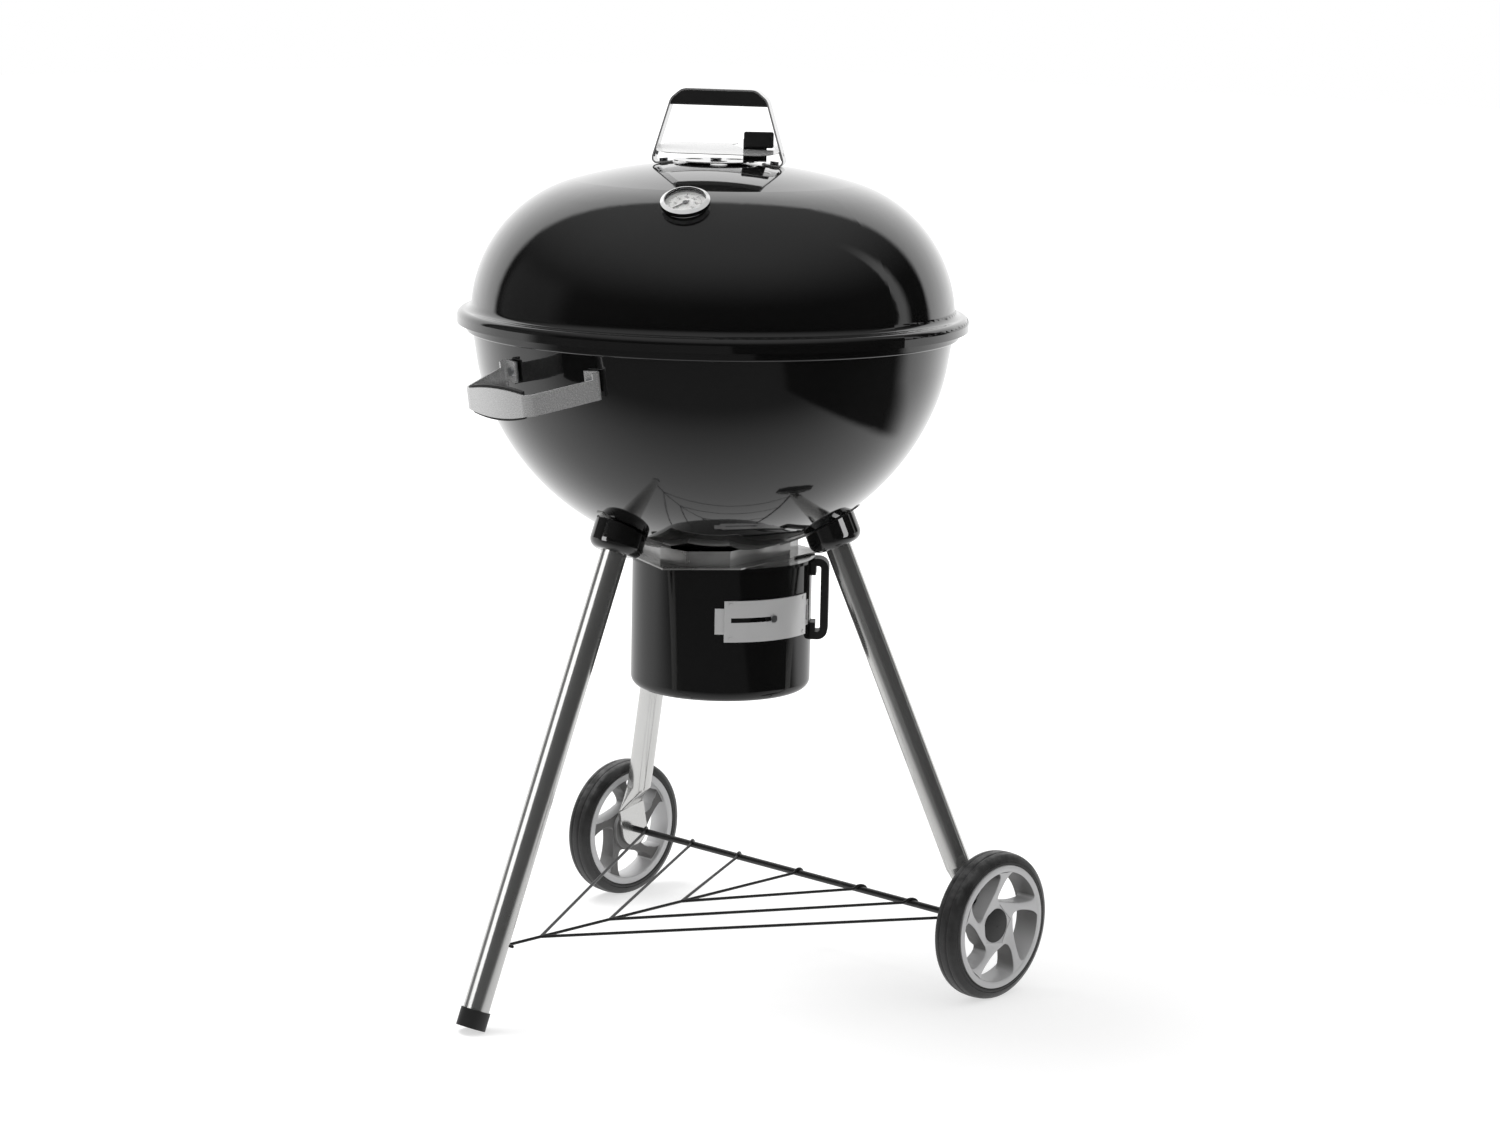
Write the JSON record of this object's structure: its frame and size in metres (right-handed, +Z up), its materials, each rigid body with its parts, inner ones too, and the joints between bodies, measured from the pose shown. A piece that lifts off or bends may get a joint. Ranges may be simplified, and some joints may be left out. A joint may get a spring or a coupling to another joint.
{
  "type": "kettle charcoal grill",
  "caption": "Kettle charcoal grill: round lidded bowl on splayed tube legs, with wheels, wire shelf, ash catcher, dampers and thermometer.",
  "frame": {"origin": "centre of the footprint, on the ground", "axes": "+Z up, -Y towards the front leg, +X to the right seen from the front"},
  "size_m": [0.648, 0.7459, 1.0432],
  "materials": {
    "black_enamel": "gloss",
    "polished_steel": "satin",
    "bright_steel": "polished",
    "black_plastic": "matte",
    "grey_plastic": "satin",
    "tyre": "matte",
    "glass": "clear",
    "dial_paint": "matte",
    "black_paint": "satin"
  },
  "bodies": {
    "stand": {"axle": "polished_steel", "axle_push_nuts": "polished_steel", "axle_washers": "polished_steel", "bowl_frame": "polished_steel", "bowl_grip_front": "black_plastic", "bowl_grip_rear": "black_plastic", "bowl_handle_front": "polished_steel", "bowl_handle_rear": "polished_steel", "bowl_handle_screws": "polished_steel", "bowl_handle_spacers": "polished_steel", "bowl_shell": "black_enamel", "cooking_grate_brackets": "polished_steel", "foot_cap": "black_plastic", "leg_front": "polished_steel", "leg_left": "polished_steel", "leg_right": "polished_steel", "leg_socket_front": "black_enamel", "leg_socket_left": "black_enamel", "leg_socket_right": "black_enamel", "wire_shelf": "black_paint"},
    "lid": {"lid_shell": "black_enamel", "lid_handle_strap": "bright_steel", "lid_handle_grip": "black_plastic", "lid_handle_screws": "polished_steel", "lid_handle_nuts": "polished_steel", "lid_heat_shield": "bright_steel", "heat_shield_rivets": "polished_steel", "lid_damper_rivet": "polished_steel", "thermometer_case": "bright_steel", "thermometer_dial": "dial_paint", "thermometer_glass": "glass", "thermometer_stem": "polished_steel", "thermometer_nut": "polished_steel"},
    "lid_damper": {"lid_damper": "bright_steel", "lid_damper_lever": "black_paint", "lid_damper_tab": "black_plastic"},
    "thermometer_needle": {"thermometer_needle": "black_paint"},
    "ash_catcher": {"ash_catcher": "black_enamel", "ash_catcher_collar": "polished_steel", "ash_catcher_handle": "black_plastic", "ash_handle_screws": "polished_steel", "ash_vent_cover": "polished_steel", "ash_vent_rivets": "polished_steel"},
    "vent_slide": {"ash_vent_slide": "polished_steel", "ash_vent_stud": "polished_steel"},
    "wheel_right": {"wheel_rim_right": "grey_plastic", "wheel_tyre_right": "tyre", "wheel_cap_right": "black_plastic"},
    "wheel_left": {"wheel_rim_left": "grey_plastic", "wheel_tyre_left": "tyre", "wheel_cap_left": "black_plastic"},
    "cooking_grate": {"cooking_grate": "polished_steel"},
    "charcoal_grate": {"charcoal_grate": "polished_steel"}
  },
  "joints": [
    {"name": "lid_lift", "type": "slide", "parent": "stand", "child": "lid", "axis": [0, 0, 1], "range_m": [0, 0.3]},
    {"name": "lid_damper_turn", "type": "hinge", "parent": "lid", "child": "lid_damper", "pos_m": [0, 0.01109, 0.962], "axis": [0, 0, 1], "range_deg": [0, 45]},
    {"name": "thermometer_needle_turn", "type": "hinge", "parent": "lid", "child": "thermometer_needle", "pos_m": [0.11283, -0.15064, 0.92339], "axis": [0.2779, -0.3983, 0.8741], "range_deg": [-270, 0]},
    {"name": "ash_catcher_drop", "type": "slide", "parent": "stand", "child": "ash_catcher", "axis": [0, 0, -1], "range_m": [0, 0.12]},
    {"name": "ash_vent_slide_turn", "type": "hinge", "parent": "ash_catcher", "child": "vent_slide", "pos_m": [0.01226, 0.02138, 0.443], "axis": [0, 0, 1], "range_deg": [-26, 0]},
    {"name": "wheel_right_spin", "type": "hinge", "parent": "stand", "child": "wheel_right", "pos_m": [0.307, 0.17819, 0.0869], "axis": [1, 0, 0], "continuous": true},
    {"name": "wheel_left_spin", "type": "hinge", "parent": "stand", "child": "wheel_left", "pos_m": [-0.307, 0.17819, 0.0869], "axis": [1, 0, 0], "continuous": true},
    {"name": "cooking_grate_lift", "type": "slide", "parent": "stand", "child": "cooking_grate", "axis": [0, 0, 1], "range_m": [0, 0.06]},
    {"name": "charcoal_grate_lift", "type": "slide", "parent": "stand", "child": "charcoal_grate", "axis": [0, 0, 1], "range_m": [0, 0.1]}
  ]
}
